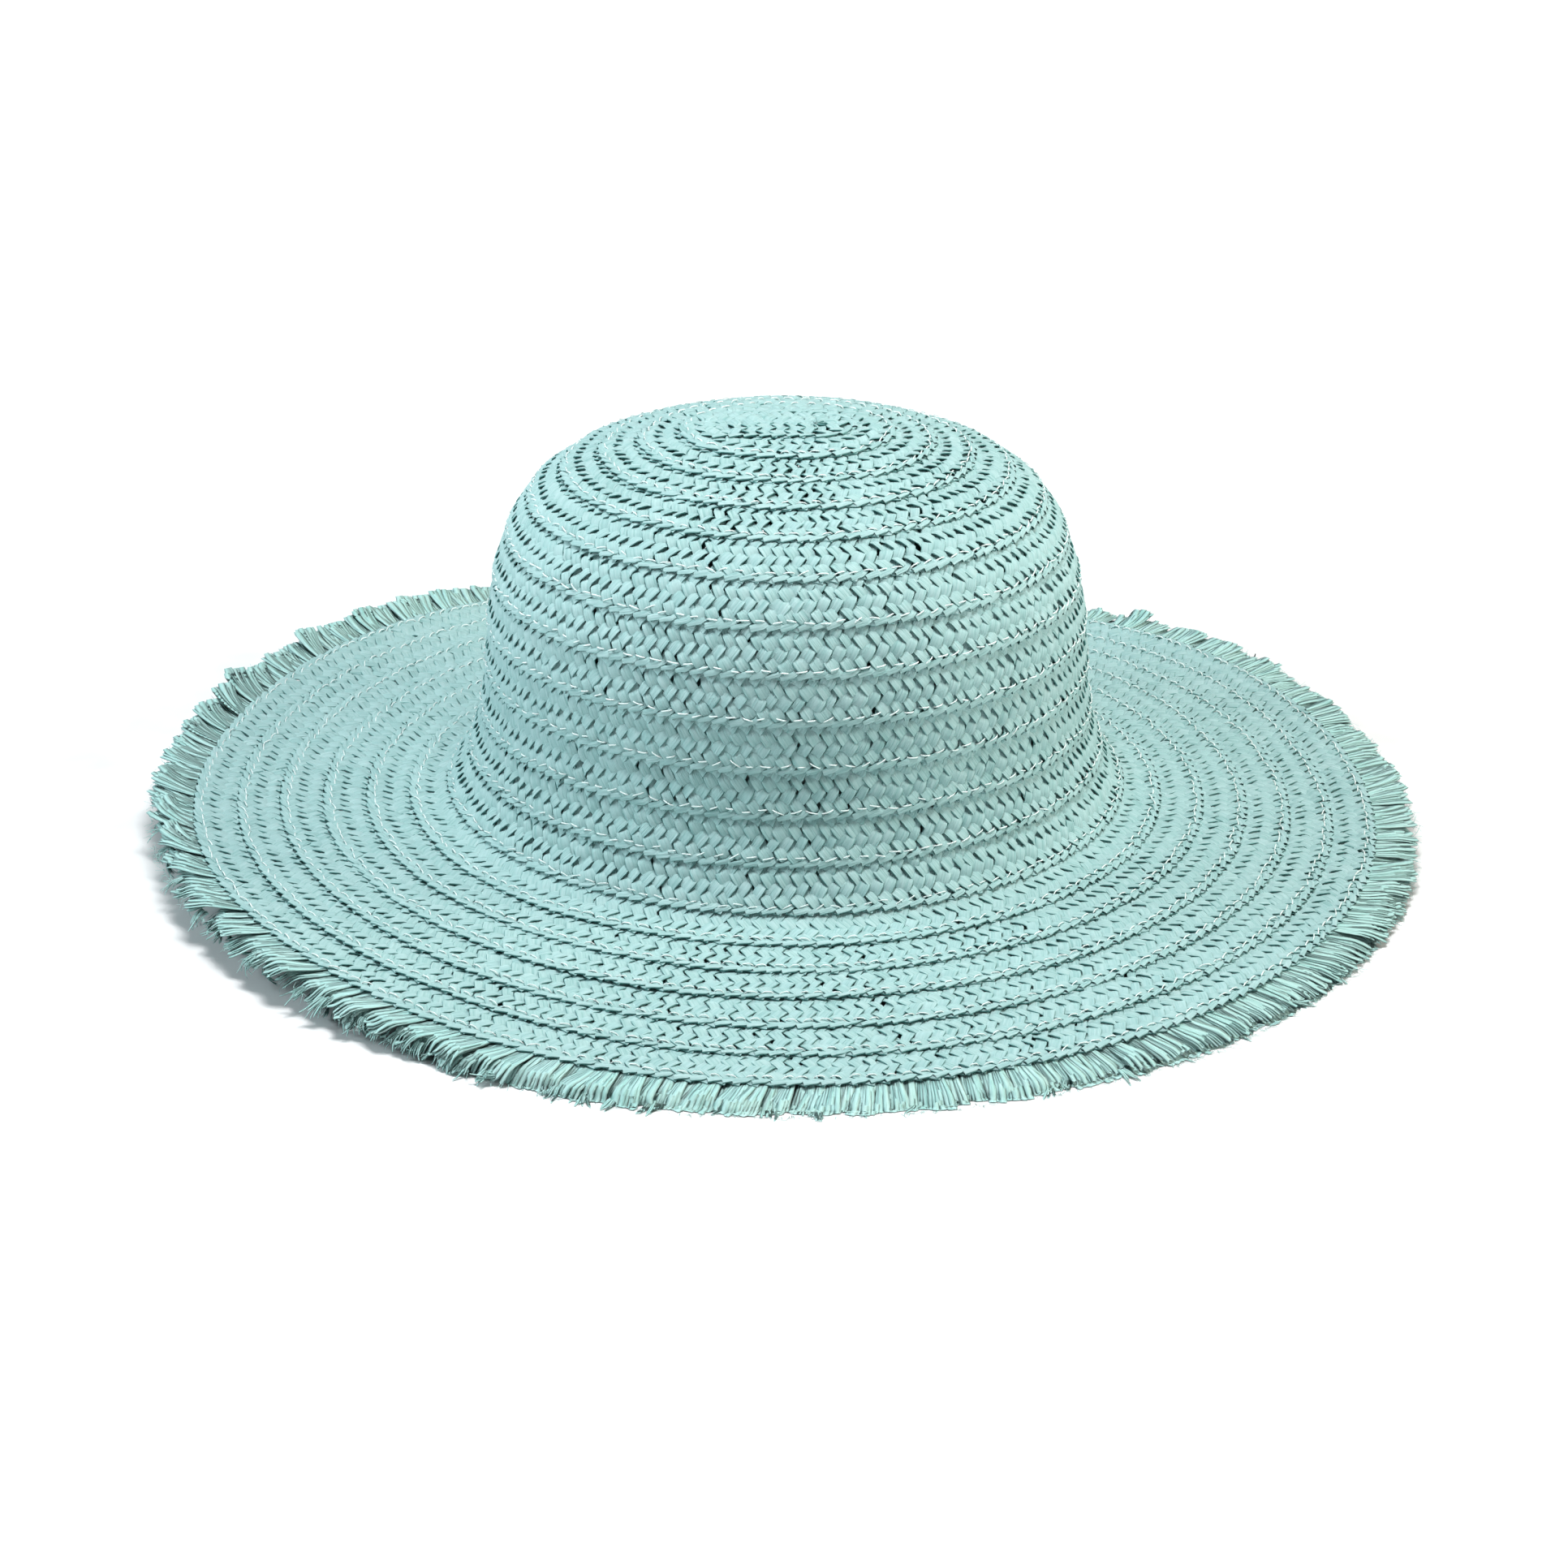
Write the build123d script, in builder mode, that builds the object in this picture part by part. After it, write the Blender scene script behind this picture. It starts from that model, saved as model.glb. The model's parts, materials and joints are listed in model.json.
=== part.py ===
from build123d import *
from math import cos, floor, radians, sin
import os

os.makedirs("parts", exist_ok=True)

# Straw sun hat, in millimetres.  +Z is up along the crown, -Y is the front of the hat.
# The origin is on the ground, under the middle of the crown.

# --- Crown and brim profile, seen from the side, as radius and height above the ground ---
junction_height = 17.2      # where the crown turns into the brim
crown_rise = 112.0          # from the junction to the top of the crown
junction_radius = 103.5
brim_start_radius = 114.5
brim_start_drop = 4.6       # how far the brim has dropped there
brim_end_radius = 199.0
brim_end_drop = 14.6        # the edge of the fringe, where it lies on the ground
crown_points = [            # (radius, drop below the junction) of points on the crown
    (45, -105.0), (75, -91.5), (87.5, -69.0), (91.5, -38.0), (97.0, -11.5),
]
crown_end_slope = -0.08     # how steeply the crown line runs on into the brim

# --- Braid: one long strip of plaited straw ribbons, sewn round and round ---
braid_thickness = 1.2
crown_pitch = 13.8          # how much of each course shows on the crown
brim_pitch = 13.25          # and on the brim
lap = 3.0                   # how far each course tucks under the one inside it
lap_offset = 0.9            # half the rise of a course from its hidden to its free edge
button_radius = 13.0        # half width of the folded start of the braid
crown_courses = 12
brim_courses = 6
course_stations = 6         # points across a course that its section is drawn through

# --- Ovalness: the folded start is longer along X, and each course evens it out ---
start_oval = 9.0
round_radius = 88.0         # from here outward the courses are true circles

# --- Brim edge: how high it lifts off the ground, as (direction in degrees, lift) ---
edge_lifts = [
    (-100, 0.0), (-50, 0.5), (0, 5.0), (38, 10.0),
    (90, 0.0), (132, 15.0), (180, 11.5), (222, 9.0),
]
lift_growth = 1.4           # the lift starts at the crown and grows faster towards the edge
sections_per_half = 12

# --- Fringe of loose straw ends sewn under the last course ---
fringe_thickness = 1.6
fringe_length = 15.0
fringe_stations = 5

# --- Sewing thread, clear and fine, one line just inside each free edge ---
thread_width = 0.5
thread_inset = 2.4
thread_gap = 0.1

# --- Cloth sweatband: a foot sewn to the crown and a straight part that meets the head ---
band_inner_radius = 89.0
band_thickness = 0.8
band_bottom = junction_height + 9.0
band_straight_from = junction_height + 16.0
band_top = junction_height + 37.0
foot_radius = 94.8
band_stitch_height = 2.0


def height(drop):
    return junction_height - drop


# The mid line of the straw, from the middle of the crown out to the edge of the brim.
with BuildLine() as profile:
    crown_line = Spline(
        (0, height(-crown_rise)),
        *[(radius, height(drop)) for radius, drop in crown_points],
        (junction_radius, height(0)),
        (brim_start_radius, height(brim_start_drop)),
        tangents=[(1, 0), (1, crown_end_slope)],
    )
    brim_line = Line(crown_line @ 1, (brim_end_radius, height(brim_end_drop)))

crown_length = crown_line.length
brim_length = brim_line.length


def profile_point(s, offset):
    """The point at arc length s along the mid line, moved out of the straw by offset."""
    if s < crown_length:
        point, along = crown_line @ (s / crown_length), crown_line % (s / crown_length)
    else:
        share = (s - crown_length) / brim_length
        point, along = brim_line @ share, brim_line % share
    return point.X - offset * along.Y, point.Y + offset * along.X


def edge_lift(angle):
    """The brim's lift in a direction, as a smooth closed curve through edge_lifts."""
    count = len(edge_lifts)
    turn = (angle - edge_lifts[0][0]) % 360 + edge_lifts[0][0]
    i = max(n for n in range(count) if edge_lifts[n][0] <= turn)
    knots = [
        (
            edge_lifts[n % count][0] + 360 * floor(n / count),
            edge_lifts[n % count][1],
        )
        for n in range(i - 1, i + 3)
    ]
    (a0, h0), (a1, h1), (a2, h2), (a3, h3) = knots
    u = (turn - a1) / (a2 - a1)
    slope_1 = (h2 - h0) / (a2 - a0) * (a2 - a1)
    slope_2 = (h3 - h1) / (a3 - a1) * (a2 - a1)
    return (
        h1 * (2 * u**3 - 3 * u**2 + 1)
        + slope_1 * (u**3 - 2 * u**2 + u)
        + h2 * (3 * u**2 - 2 * u**3)
        + slope_2 * (u**3 - u**2)
    )


def shaped(point, angle):
    """A profile point moved to where the oval start and the waved brim put it."""
    r, z = point
    oval = start_oval * max(0.0, 1 - r / round_radius) * cos(radians(angle)) ** 2
    out = max(0.0, (r - junction_radius) / (brim_end_radius - junction_radius))
    return r + oval, z + edge_lift(angle) * out**lift_growth


def is_round(outline):
    radii = [r for side in outline for r, z in side]
    return min(radii) > round_radius and max(radii) < junction_radius


def section(outline, plane, angle):
    """The closed cross-section between an upper and a lower line, stood on a plane."""
    upper, lower = ([shaped(p, angle) for p in side] for side in outline)
    with BuildSketch(plane) as cut:
        with BuildLine():
            Spline(*upper)
            Line(upper[-1], lower[-1])
            Spline(*reversed(lower))
            Line(lower[0], upper[0])
        make_face()
    return cut.sketch


def half_ring(outline, start):
    """Half a turn of a ring, through sections that follow the oval and the wave."""
    sections = []
    for n in range(sections_per_half + 1):
        angle = start + 180 * n / sections_per_half
        out = (cos(radians(angle)), sin(radians(angle)), 0)
        side = (sin(radians(angle)), -cos(radians(angle)), 0)
        sections.append(section(outline, Plane((0, 0, 0), x_dir=out, z_dir=side), angle))
    with BuildPart() as half:
        loft(sections=sections)
    return half.part


def turned_ring(outline):
    """A whole ring where the hat is round and level."""
    with BuildPart() as whole:
        add(section(outline, Plane.XZ, 90))
        revolve(axis=Axis.Z)
    return whole.part


def ring(outline):
    """The solids that together make one ring of the hat."""
    if is_round(outline):
        return [turned_ring(outline)]
    return [half_ring(outline, 0), half_ring(outline, 180)]


def course_outline(first, last, thickness):
    """A course that rises from under its inner neighbour to lie over its outer one."""
    upper = []
    lower = []
    for n in range(course_stations):
        share = n / (course_stations - 1)
        s = first + (last - first) * share
        middle = lap_offset * (2 * share - 1)
        upper.append(profile_point(s, middle + thickness / 2))
        lower.append(profile_point(s, middle - thickness / 2))
    return upper, lower


def seam(number):
    """Arc length of the free edge of a course, counted from the button outward."""
    on_crown = min(number, crown_courses)
    return button_radius + crown_pitch * on_crown + brim_pitch * (number - on_crown)


def thread_outline(number):
    """A fine line of thread lying on a course, just inside its free edge."""
    middle = seam(number) - thread_inset
    rise = lap_offset * (1 - 2 * thread_inset / (crown_pitch + lap))
    base = rise + braid_thickness / 2 + thread_gap
    ends = [middle - thread_width / 2, middle, middle + thread_width / 2]
    upper = [profile_point(s, base + thread_width) for s in ends]
    lower = [profile_point(s, base) for s in ends]
    return upper, lower


# The button: the folded start of the braid, a flat oval on the top of the crown.
with BuildPart() as crown_button:
    long_radius = button_radius + start_oval * (1 - button_radius / round_radius)
    underside = profile_point(button_radius, lap_offset - braid_thickness / 2)[1]
    with BuildSketch(Plane.XY.offset(underside)):
        SlotOverall(2 * long_radius, 2 * button_radius)
    extrude(amount=braid_thickness)
crown_button.part.label = "crown_button"
export_step(crown_button.part, "parts/crown_button.step")

# The crown's courses, from the one that wraps the button down to the junction.
for number in range(1, crown_courses + 1):
    course = ring(course_outline(seam(number - 1) - lap, seam(number), braid_thickness))
    with BuildPart() as crown_row:
        add(course)
    crown_row.part.label = f"crown_row_{number:02d}"
    export_step(crown_row.part, f"parts/crown_row_{number:02d}.step")

# The brim's courses, from the junction out to the last whole one.
for number in range(1, brim_courses + 1):
    count = crown_courses + number
    course = ring(course_outline(seam(count - 1) - lap, seam(count), braid_thickness))
    with BuildPart() as brim_row:
        add(course)
    brim_row.part.label = f"brim_row_{number:02d}"
    export_step(brim_row.part, f"parts/brim_row_{number:02d}.step")

# The fringe: loose ends that start under the last course and reach past it.
last_seam = seam(crown_courses + brim_courses)
inner = last_seam - lap
outer = last_seam + fringe_length
low = -lap_offset - (fringe_thickness - braid_thickness) / 2
gaps = fringe_stations - 1
reach = [inner + (outer - inner) * n / gaps for n in range(fringe_stations)]
above = [profile_point(s, low + fringe_thickness / 2) for s in reach]
below = [profile_point(s, low - fringe_thickness / 2) for s in reach]
fringe = ring((above, below))
with BuildPart() as brim_fringe:
    add(fringe)
brim_fringe.part.label = "brim_fringe"
export_step(brim_fringe.part, "parts/brim_fringe.step")

# The sewing thread: one line round every course but the button.
for number in range(1, crown_courses + brim_courses + 1):
    line = ring(thread_outline(number))
    with BuildPart() as seam_thread:
        add(line)
    seam_thread.part.label = f"seam_thread_{number:02d}"
    export_step(seam_thread.part, f"parts/seam_thread_{number:02d}.step")

# The sweatband: turned from a foot that leans out to the crown and a straight wall.
with BuildPart() as sweatband:
    band_outer_radius = band_inner_radius + band_thickness
    with BuildSketch(Plane.XZ):
        with BuildLine():
            Polyline(
                (band_inner_radius, band_top),
                (band_inner_radius, band_straight_from),
                (foot_radius, band_bottom),
                (foot_radius + band_thickness, band_bottom),
                (band_outer_radius, band_straight_from),
                (band_outer_radius, band_top),
                close=True,
            )
        make_face()
    revolve(axis=Axis.Z)
sweatband.part.label = "sweatband"
export_step(sweatband.part, "parts/sweatband.step")

# The line of thread that holds the sweatband's foot, on its inner face.
with BuildPart() as sweatband_thread:
    lean = (foot_radius - band_inner_radius) / (band_straight_from - band_bottom)
    stitch_radius = foot_radius - lean * band_stitch_height - thread_width
    with BuildSketch(Plane.XZ):
        with Locations((stitch_radius, band_bottom + band_stitch_height)):
            Rectangle(thread_width, thread_width)
    revolve(axis=Axis.Z)
sweatband_thread.part.label = "sweatband_thread"
export_step(sweatband_thread.part, "parts/sweatband_thread.step")
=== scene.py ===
import json
from math import cos, pi, radians, sin

import bpy
import numpy as np
from mathutils import Matrix, Vector


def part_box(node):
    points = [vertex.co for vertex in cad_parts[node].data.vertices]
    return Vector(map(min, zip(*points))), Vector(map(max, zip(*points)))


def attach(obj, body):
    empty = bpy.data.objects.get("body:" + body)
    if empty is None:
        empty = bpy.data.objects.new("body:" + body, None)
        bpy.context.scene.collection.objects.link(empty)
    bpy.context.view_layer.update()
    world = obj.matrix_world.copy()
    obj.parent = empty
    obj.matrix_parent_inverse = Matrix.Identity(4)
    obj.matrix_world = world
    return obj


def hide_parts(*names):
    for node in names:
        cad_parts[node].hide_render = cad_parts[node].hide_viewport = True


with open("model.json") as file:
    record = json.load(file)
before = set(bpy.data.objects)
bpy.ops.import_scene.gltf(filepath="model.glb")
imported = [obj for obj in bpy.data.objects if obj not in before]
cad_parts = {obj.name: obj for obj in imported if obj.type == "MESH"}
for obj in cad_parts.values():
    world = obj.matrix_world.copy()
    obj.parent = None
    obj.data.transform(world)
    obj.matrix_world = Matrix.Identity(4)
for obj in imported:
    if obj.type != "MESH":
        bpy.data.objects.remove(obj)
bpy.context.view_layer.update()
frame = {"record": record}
rng = np.random.default_rng(769)

# Straw sun hat.  +Z is up along the crown and -Y is the front of the hat.  Shapes are worked
# out in millimetres and scaled to metres as each mesh is made.
MM = 0.001
CROWN_ROWS = 12
BRIM_ROWS = 6
ROWS = CROWN_ROWS + BRIM_ROWS
TURN = 2 * pi

# ---------------------------------------------------------------- hat surface
# The CAD's driving dimensions for the straw, the oval start and the waved brim, in mm and
# degrees.
STRAW_THICKNESS = 1.2
EDGE_LIFTS = [
    (-100, 0.0), (-50, 0.5), (0, 5.0), (38, 10.0),
    (90, 0.0), (132, 15.0), (180, 11.5), (222, 9.0),
]
LIFT_GROWTH = 1.4
START_OVAL = 9.0
ROUND_RADIUS = 88.0

TUCK = 1.2          # how far the hidden edge of a course lies below its free edge
HIDDEN_LAP = 3.3    # width of plait hidden under the course before
TOP_DOME = 0.25     # rise of the middle of the crown over the button's edge
SLOPE_REACH = 0.02  # share of a course over which the profile's direction is measured

row_names = [f"crown_row_{n:02d}" for n in range(1, CROWN_ROWS + 1)]
row_names += [f"brim_row_{n:02d}" for n in range(1, BRIM_ROWS + 1)]


def edge_lift(angle_deg):
    """The brim's lift in each direction, a smooth closed curve through EDGE_LIFTS."""
    first = EDGE_LIFTS[0][0]
    turn = (np.asarray(angle_deg, float) - first) % 360 + first
    count = len(EDGE_LIFTS)
    angles = np.array([angle for angle, _ in EDGE_LIFTS], float)
    lifts = np.array([lift for _, lift in EDGE_LIFTS], float)
    i = np.searchsorted(angles, turn, side="right") - 1

    def knot(j):
        return angles[j % count] + 360 * (j // count), lifts[j % count]

    a0, h0 = knot(i - 1)
    a1, h1 = knot(i)
    a2, h2 = knot(i + 1)
    a3, h3 = knot(i + 2)
    u = (turn - a1) / (a2 - a1)
    m1 = (h2 - h0) / (a2 - a0) * (a2 - a1)
    m2 = (h3 - h1) / (a3 - a1) * (a2 - a1)
    return (
        h1 * (2 * u**3 - 3 * u**2 + 1)
        + m1 * (u**3 - 2 * u**2 + u)
        + h2 * (3 * u**2 - 2 * u**3)
        + m2 * (u**3 - u**2)
    )


def read_edges():
    """Radius and height of the top, the button's edge, each free edge and the fringe's tips."""
    names = ["crown_button"] + row_names + ["brim_fringe"]
    lo = np.array([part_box(n)[0] for n in names]) / MM
    hi = np.array([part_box(n)[1] for n in names]) / MM
    # along +Y neither the oval start nor the wave moves the courses
    r = hi[:, 1].copy()
    z = lo[:, 2].copy()
    along = np.stack([np.gradient(r), np.gradient(z)], 1)
    along /= np.linalg.norm(along, axis=1)[:, None]
    normal = np.stack([-along[:, 1], along[:, 0]], 1)
    half = STRAW_THICKNESS / 2
    edge = np.stack([r - half * normal[:, 0], z + half * normal[:, 1]], 1)
    edge[0] = (hi[0, 1], lo[0, 2] + half)
    top = np.array([0.0, edge[0, 1] + TOP_DOME])
    return np.vstack([top, edge])


EDGES = read_edges()
BUTTON_EDGE = 1  # index in EDGES of the button's edge, which counts as course 0
JUNCTION = EDGES[BUTTON_EDGE + CROWN_ROWS, 0]
OUTER = EDGES[-1, 0]


def catmull(points, u):
    """Points on the smooth curve through the rows of points, at real index u."""
    u = np.asarray(u, float)
    i = np.clip(np.floor(u).astype(int), 0, len(points) - 2)
    f = (u - i)[..., None]
    pad = np.vstack([2 * points[0] - points[1], points, 2 * points[-1] - points[-2]])
    p0, p1, p2, p3 = pad[i], pad[i + 1], pad[i + 2], pad[i + 3]
    m1 = (p2 - p0) / 2
    m2 = (p3 - p1) / 2
    return (
        p1 * (2 * f**3 - 3 * f**2 + 1)
        + m1 * (f**3 - 2 * f**2 + f)
        + p2 * (3 * f**2 - 2 * f**3)
        + m2 * (f**3 - f**2)
    )


def profile(u):
    """Position and outward normal on the hat's profile at course number u."""
    at = np.asarray(u) + BUTTON_EDGE
    p = catmull(EDGES, at)
    t = catmull(EDGES, at + SLOPE_REACH) - catmull(EDGES, at - SLOPE_REACH)
    t /= np.linalg.norm(t, axis=-1, keepdims=True)
    return p, np.stack([-t[..., 1], t[..., 0]], -1)


def to_hat(r, z, theta):
    """A profile point in a direction, moved to where the oval start and the wave put it."""
    oval = START_OVAL * np.clip(1 - r / ROUND_RADIUS, 0, None) * np.cos(theta) ** 2
    share = np.clip((r - JUNCTION) / (OUTER - JUNCTION), 0, None)
    z = z + edge_lift(np.degrees(theta)) * share**LIFT_GROWTH
    rr = r + oval
    return np.stack([rr * np.cos(theta), rr * np.sin(theta), z], -1)


def hat_point(u, off, theta):
    """The point at course number u in a direction, moved outward from the profile by off."""
    p, n = profile(u)
    return to_hat(p[..., 0] + off * n[..., 0], p[..., 1] + off * n[..., 1], theta)


def course_size(row):
    """How far a course shows, and its whole width with the hidden lap, in mm."""
    edge_in, edge_out = EDGES[BUTTON_EDGE + row - 1], EDGES[BUTTON_EDGE + row]
    gap = np.linalg.norm(edge_out - edge_in)
    return gap, gap + HIDDEN_LAP


# ---------------------------------------------------------------- mesh helpers
def new_mesh(name, verts_mm, quads, fibre=None, tint=None, material=None):
    """A smooth-shaded object from points in mm, with the fibre map and each ribbon's tint."""
    me = bpy.data.meshes.new(name)
    me.vertices.add(len(verts_mm))
    me.vertices.foreach_set("co", (np.asarray(verts_mm) * MM).astype(np.float32).ravel())
    quads = np.asarray(quads, np.int32)
    me.loops.add(quads.size)
    me.loops.foreach_set("vertex_index", quads.ravel())
    me.polygons.add(len(quads))
    me.polygons.foreach_set("loop_start", np.arange(0, quads.size, 4, dtype=np.int32))
    me.update(calc_edges=True)
    me.polygons.foreach_set("use_smooth", np.ones(len(quads), bool))
    if fibre is not None:
        layer = me.uv_layers.new(name="fibre")
        layer.data.foreach_set("uv", fibre[quads.ravel()].astype(np.float32).ravel())
    if tint is not None:
        att = me.attributes.new("tint", "FLOAT", "POINT")
        att.data.foreach_set("value", np.asarray(tint, np.float32))
    me.validate()
    ob = bpy.data.objects.new(name, me)
    bpy.context.scene.collection.objects.link(ob)
    if material is not None:
        me.materials.append(material)
    return ob


def tube_quads(count, rings, around):
    """Quads for many separate tubes, each of that many rings of points.  The ends stay open."""
    base = (np.arange(count) * rings * around)[:, None, None]
    i = np.arange(rings - 1)[None, :, None] * around
    j = np.arange(around)[None, None, :]
    k = ((np.arange(around) + 1) % around)[None, None, :]
    a = base + i + j
    b = base + i + k
    return np.stack([a, b, b + around, a + around], -1).reshape(-1, 4)


def smooth_noise(size, length, amount):
    """A smooth closed random line of that many samples, changing over about length samples."""
    n = max(4, int(round(size / length)))
    knots = rng.normal(0, amount, n)
    x = np.arange(size) / size * n
    i = np.floor(x).astype(int)
    f = x - i
    f = f * f * (3 - 2 * f)
    return knots[i % n] * (1 - f) + knots[(i + 1) % n] * f


def step(x, a, b):
    """0 below a, 1 above b and smooth between."""
    t = np.clip((x - a) / (b - a), 0, 1)
    return t * t * (3 - 2 * t)


def dress(piece, cad_node):
    """Hides the CAD node that the piece shows and attaches the piece to its body."""
    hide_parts(cad_node)
    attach(piece, "root")


# ---------------------------------------------------------------- materials
def node(tree, kind, sockets=None, **settings):
    """A shader node with its settings and with values on its input sockets."""
    made = tree.nodes.new(kind)
    for key, value in settings.items():
        setattr(made, key, value)
    for socket, value in (sockets or {}).items():
        made.inputs[socket].default_value = value
    return made


def times_plus(tree, source, factor, added=None):
    """source times factor, plus another output if there is one."""
    made = node(tree, "ShaderNodeMath", {1: factor, 2: 0.0}, operation="MULTIPLY_ADD")
    tree.links.new(source, made.inputs[0])
    if added is not None:
        tree.links.new(added, made.inputs[2])
    return made.outputs[0]


def stretched_noise(tree, vector, scale, detail, roughness=0.5):
    """Noise drawn out along the fibres, scale being its fineness across and along them."""
    stretch = node(tree, "ShaderNodeMapping", {"Scale": (*scale, 1)})
    noise = node(
        tree, "ShaderNodeTexNoise", {"Scale": 1.0, "Detail": detail, "Roughness": roughness}
    )
    tree.links.new(vector, stretch.inputs["Vector"])
    tree.links.new(stretch.outputs["Vector"], noise.inputs["Vector"])
    return noise.outputs["Fac"]


def colour_ramp(tree, source, stops):
    """The colour that a value picks from stops, given as (position, colour) in order."""
    ramp = node(tree, "ShaderNodeValToRGB")
    elements = ramp.color_ramp.elements
    for position, _ in stops[1:-1]:
        elements.new(position)
    for element, (position, colour) in zip(elements, stops):
        element.position = position
        element.color = (*colour, 1)
    tree.links.new(source, ramp.inputs["Fac"])
    return ramp.outputs["Color"]


def relief_finish(tree, relief, rough, spread, depth):
    """Roughness and bump that both follow the relief: its high parts are smoother."""
    bsdf = tree.nodes["Principled BSDF"]
    range_sockets = {"To Min": rough + spread, "To Max": rough - spread}
    roughness = node(tree, "ShaderNodeMapRange", range_sockets)
    bump = node(tree, "ShaderNodeBump", {"Strength": 1.0, "Distance": depth})
    tree.links.new(relief, roughness.inputs["Value"])
    tree.links.new(roughness.outputs["Result"], bsdf.inputs["Roughness"])
    tree.links.new(relief, bump.inputs["Height"])
    tree.links.new(bump.outputs["Normal"], bsdf.inputs["Normal"])


def straw_material(name, low, mid, high, rough=0.62):
    """Dyed straw: fine stripes along each ribbon, a tint of its own, and painted shade on the cut
    sides and undersides, standing in for the shadow in the grooves between ribbons.
    """
    m = bpy.data.materials.new(name)
    m.use_nodes = True
    tree = m.node_tree
    bsdf = tree.nodes["Principled BSDF"]
    uv = node(tree, "ShaderNodeUVMap", uv_map="fibre").outputs["UV"]
    tint = node(tree, "ShaderNodeAttribute", attribute_name="tint").outputs["Fac"]
    cut = node(tree, "ShaderNodeAttribute", attribute_name="cut").outputs["Fac"]
    fine = stretched_noise(tree, uv, (1.9, 0.09), 3.0, 0.6)
    broad = stretched_noise(tree, uv, (0.9, 0.10), 1.0)
    shade = times_plus(tree, tint, 0.030)
    shade = times_plus(tree, broad, 0.45, shade)
    shade = times_plus(tree, fine, 0.75, shade)
    colour = colour_ramp(tree, shade, [(0.28, low), (0.52, mid), (0.78, high)])
    # painted shade on the cut sides and undersides, standing in for the shadow in the grooves
    # between ribbons
    # a colour mix has its sockets 6 and 7 and its output 2 for the colours
    painted_shade = node(
        tree, "ShaderNodeMix", {7: (0.26, 0.50, 0.48, 1)}, data_type="RGBA", blend_type="MULTIPLY"
    )
    tree.links.new(cut, painted_shade.inputs[0])
    tree.links.new(colour, painted_shade.inputs[6])
    tree.links.new(painted_shade.outputs[2], bsdf.inputs["Base Color"])
    relief_finish(tree, fine, rough, 0.10, 0.00035)
    bsdf.inputs["Sheen Weight"].default_value = 0.12
    bsdf.inputs["Sheen Roughness"].default_value = 0.5
    bsdf.inputs["Specular IOR Level"].default_value = 0.35
    return m


def fine_material(name, colour, rough, specular, grain, depth, ribs=False):
    """A fine-grained material; with ribs, a woven ribbon with ribs across it."""
    m = bpy.data.materials.new(name)
    m.use_nodes = True
    tree = m.node_tree
    bsdf = tree.nodes["Principled BSDF"]
    place = node(tree, "ShaderNodeTexCoord")
    noise = node(tree, "ShaderNodeTexNoise", {"Scale": grain, "Detail": 2.0})
    tree.links.new(place.outputs["Object"], noise.inputs["Vector"])
    relief = noise.outputs["Fac"]
    if ribs:
        uv = node(tree, "ShaderNodeUVMap", uv_map="fibre")
        wave = node(
            tree, "ShaderNodeTexWave", {"Scale": 0.35, "Distortion": 0.6},
            wave_type="BANDS", bands_direction="X",
        )
        tree.links.new(uv.outputs["UV"], wave.inputs["Vector"])
        relief = times_plus(tree, relief, 0.5, wave.outputs["Fac"])
    dark = [0.90 * c for c in colour]
    light = [min(1.0, 1.05 * c) for c in colour]
    shade = colour_ramp(tree, relief, [(0.25, dark), (0.85, light)])
    tree.links.new(shade, bsdf.inputs["Base Color"])
    relief_finish(tree, relief, rough, 0.08, depth)
    bsdf.inputs["Specular IOR Level"].default_value = specular
    return m


STRAW = straw_material(
    "dyed straw", (0.19, 0.385, 0.375), (0.315, 0.525, 0.52), (0.42, 0.615, 0.615)
)
# The fringe's straw is the same dyed straw painted lighter and more saturated: painted light that
# makes up for the shade its folds and gaps get.
LOOSE_STRAW_PAINTED_LIGHTER = straw_material(
    "loose straw", (0.21, 0.50, 0.46), (0.39, 0.68, 0.645), (0.51, 0.77, 0.745), rough=0.6
)
# The clear thread gets a near-white colour: painted glint, standing in for the light it catches.
THREAD_PAINTED_GLINT = fine_material("clear thread", (0.86, 0.96, 0.94), 0.22, 0.9, 1500, 0.00004)


# ---------------------------------------------------------------- plait
# A plait is drawn in s (mm along it), v (mm across it, from the hidden to the free edge) and
# h (mm outward).  Each ribbon is followed by k, which counts the crossings from the hidden edge.
PITCH = 4.25         # spacing of the crossings along the plait
PLAIT_WIDTH = 17.3
COLUMNS = 6          # the plait's width in crossings
COLUMN_V = np.array([0.9, 2.1, 5.45, 8.85, 12.2, 15.35, 16.35])  # v at each whole k
SHINGLE = 0.30       # how far a ribbon's outward side is raised, and its inward side lowered
# Height of a ribbon through one over and one under, by columns from the middle of the over:
# it rises steeply from under the ribbon before and slides gently under the next.
RISE_K = np.array([-0.52, -0.20, 0.0, 0.50, 0.76, 1.0, 1.48])
RISE_H = np.array([-0.62, 0.20, 0.28, 0.26, -0.40, -0.55, -0.62])
# where along the ribbon the mesh has sections, for outward and inward ribbons
SECTIONS = np.array([
    [0, 0.5, 1, 1.48, 1.8, 2, 2.5, 2.76, 3, 3.48, 3.8, 4, 4.5, 4.76, 5, 5.5, 6],
    [0, 0.5, 1, 1.5, 1.76, 2, 2.48, 2.8, 3, 3.5, 3.76, 4, 4.48, 4.8, 5, 5.5, 6],
])
SAMPLES = SECTIONS.shape[1]
# a flat ribbon with a slightly raised middle: its section, left to right on top, then below
CROSS_X = np.array([-1.0, -0.88, 0.0, 0.88, 1.0, 0.9, -0.9])
CROSS_H = np.array([-0.20, 0.0, 0.08, 0.0, -0.20, -0.44, -0.44])
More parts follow.
